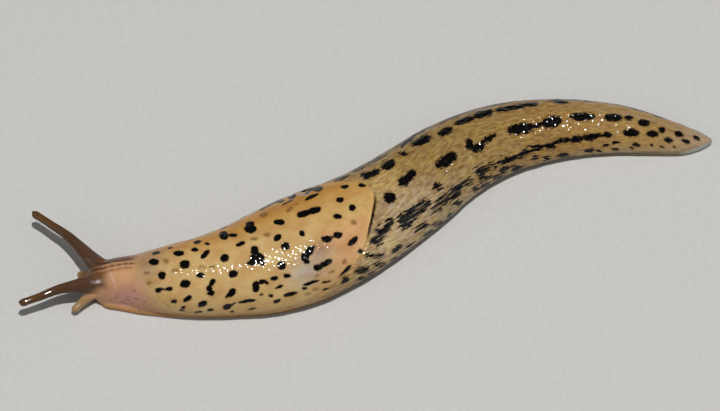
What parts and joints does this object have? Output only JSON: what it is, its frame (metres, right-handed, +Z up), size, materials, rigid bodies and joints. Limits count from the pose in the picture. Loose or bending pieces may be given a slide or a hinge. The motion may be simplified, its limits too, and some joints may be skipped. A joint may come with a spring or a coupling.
{
  "type": "slug",
  "caption": "Leopard slug, life size, crawling in a slow S with its four feelers out: spotted shield over the front of the back, striped keeled tail, flat sole.",
  "frame": {"origin": "middle of the bounding box, on the surface that the sole lies on", "axes": "+X towards the tail, +Y towards the animal's right side, +Z up"},
  "size_m": [0.1378, 0.051, 0.0113],
  "materials": {
    "flesh": "wet, wrinkled skin",
    "mantle": "wet, finely grained skin",
    "sole": "wet, smooth skin",
    "tentacle": "wet, finely grained skin",
    "eye": "glossy"
  },
  "bodies": {
    "root": {"head": "flesh", "neck": "flesh", "torso_front": "flesh", "torso_rear": "flesh", "back_front": "flesh", "back_rear": "flesh", "tail": "flesh", "mantle": "mantle", "foot_front": "sole", "foot_middle": "sole", "foot_rear": "sole", "foot_tail": "sole", "upper_tentacle_left": "tentacle", "upper_tentacle_right": "tentacle", "lower_tentacle_left": "tentacle", "lower_tentacle_right": "tentacle", "eye_left": "eye", "eye_right": "eye"}
  },
  "joints": []
}
